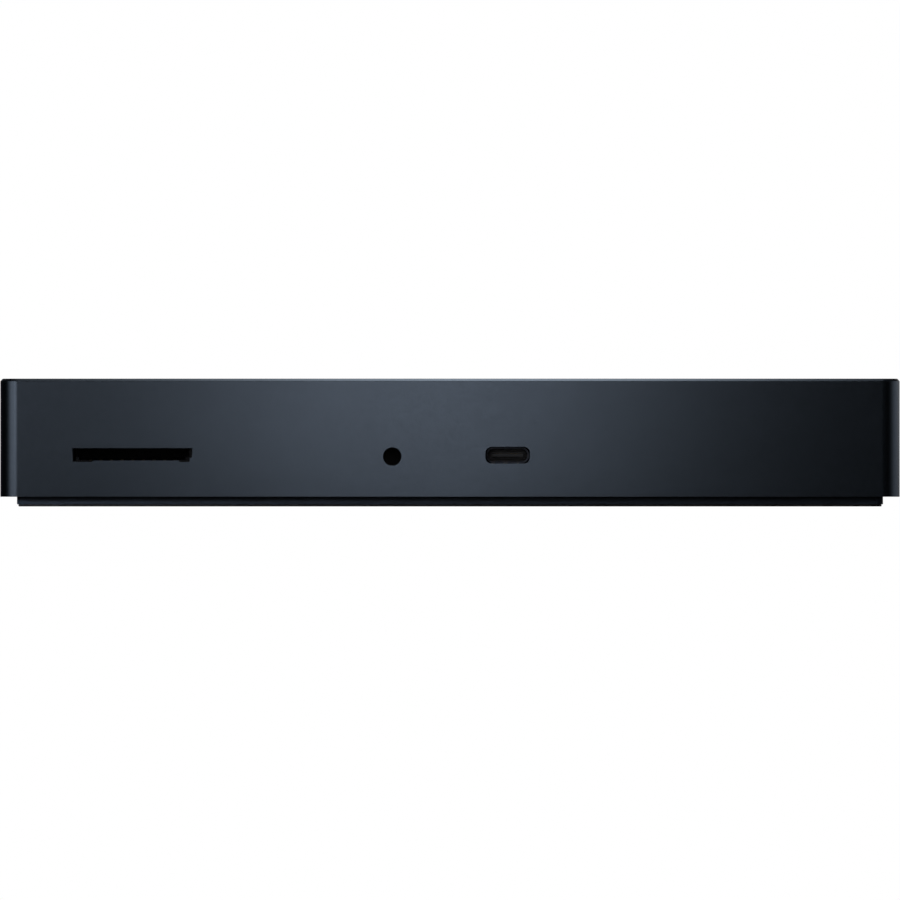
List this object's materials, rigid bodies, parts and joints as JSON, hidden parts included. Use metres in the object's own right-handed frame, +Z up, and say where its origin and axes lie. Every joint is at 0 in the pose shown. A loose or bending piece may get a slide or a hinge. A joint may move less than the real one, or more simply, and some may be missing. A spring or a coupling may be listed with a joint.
{
  "type": "laptop docking station",
  "caption": "Low desktop dock: a dark anodised metal body on a recessed plinth, card slot, headset jack and USB-C port in front, display, data, network and power ports behind.",
  "frame": {"origin": "centre of the footprint, on the table, at the underside of the foot pad", "axes": "+X to the right seen from the front, +Y from the front face to the rear face, +Z up"},
  "size_m": [0.19, 0.075, 0.027],
  "materials": {
    "anodised_aluminium": "fine bead-blasted, dark blue-grey anodised",
    "pad_rubber": "satin silicone rubber",
    "smoked_diffuser": "satin smoked translucent plastic",
    "cover_plastic": "fine spark-eroded grain",
    "connector_plastic": "satin moulded, glass-filled",
    "ivory_plastic": "satin moulded",
    "black_screw_steel": "black zinc",
    "zinc_steel": "bright zinc",
    "connector_steel": "drawn nickel-plated sheet",
    "black_nickel_steel": "drawn black-nickel-plated sheet",
    "spring_steel": "bright drawn wire",
    "contact_gold": "gold flash on phosphor bronze",
    "tinned_brass": "bright tin plate on brass",
    "tinned_sheet": "bright tin plate on steel sheet",
    "spreader_aluminium": "plain extruded",
    "board_laminate": "dark solder mask with copper tracks",
    "chip_resin": "moulded resin",
    "ferrite": "pressed ferrite composite",
    "capacitor_can": "drawn can",
    "ceramic_chip": "fired ceramic",
    "thermal_pad": "soft filled silicone",
    "insulator_film": "black polyester film",
    "white_laminate": "white solder mask",
    "led_lens": "moulded white package",
    "wire_insulation": "soft extruded, one colour a wire",
    "light_pipe": "clear moulded"
  },
  "bodies": {
    "dock": {"housing": "anodised_aluminium", "foot_pad": "pad_rubber", "light_guide": "smoked_diffuser", "base_cover": "cover_plastic", "base_screws": "black_screw_steel", "insulator_sheet": "insulator_film", "main_board": "board_laminate", "board_screws": "zinc_steel", "hub_controller": "chip_resin", "logic_chips": "chip_resin", "controller_thermal_pad": "thermal_pad", "heat_spreader": "spreader_aluminium", "heat_spreader_screws": "zinc_steel", "roof_thermal_pad": "thermal_pad", "shield_frame": "tinned_sheet", "shield_can": "tinned_sheet", "power_inductors": "ferrite", "polymer_capacitors": "capacitor_can", "power_transistors": "chip_resin", "chip_parts": "ceramic_chip", "crystals": "tinned_sheet", "network_transformer": "chip_resin", "led_header": "ivory_plastic", "led_cable": "wire_insulation", "led_boards": "white_laminate", "leds": "led_lens", "sd_socket_base": "connector_plastic", "sd_socket_cover": "connector_steel", "sd_contacts": "contact_gold", "sd_slider_spring": "spring_steel", "audio_jack_body": "connector_plastic", "audio_jack_contacts": "contact_gold", "front_usb_c_shell": "black_nickel_steel", "front_usb_c_tongue": "connector_plastic", "front_usb_c_contacts": "contact_gold", "rear_usb_c_shells": "black_nickel_steel", "rear_usb_c_tongues": "connector_plastic", "rear_usb_c_contacts": "contact_gold", "usb_a_shells": "connector_steel", "usb_a_tongues": "connector_plastic", "usb_a_contacts": "contact_gold", "ethernet_shield": "connector_steel", "ethernet_body": "connector_plastic", "ethernet_contacts": "contact_gold", "ethernet_light_pipes": "light_pipe", "power_jack_body": "connector_plastic", "power_jack_pin": "tinned_brass", "power_jack_spring": "tinned_brass"},
    "card_slider": {"sd_slider": "connector_plastic"},
    "lock_rod": {"sd_lock_rod": "spring_steel"}
  },
  "joints": [
    {"name": "card_push", "type": "slide", "parent": "dock", "child": "card_slider", "axis": [0, 1, 0], "range_m": [0, 0.004], "stiffness_N_per_m": 20, "deforming": ["sd_slider_spring"]},
    {"name": "lock_rod_swing", "type": "hinge", "parent": "dock", "child": "lock_rod", "pos_m": [-0.0542, -0.00455, 0.0117], "axis": [0, 0, 1], "range_deg": [0, 1.4]}
  ],
  "couplings": [
    {"joint": "lock_rod_swing", "follows": "card_push", "rad_per_m": 6.05}
  ]
}
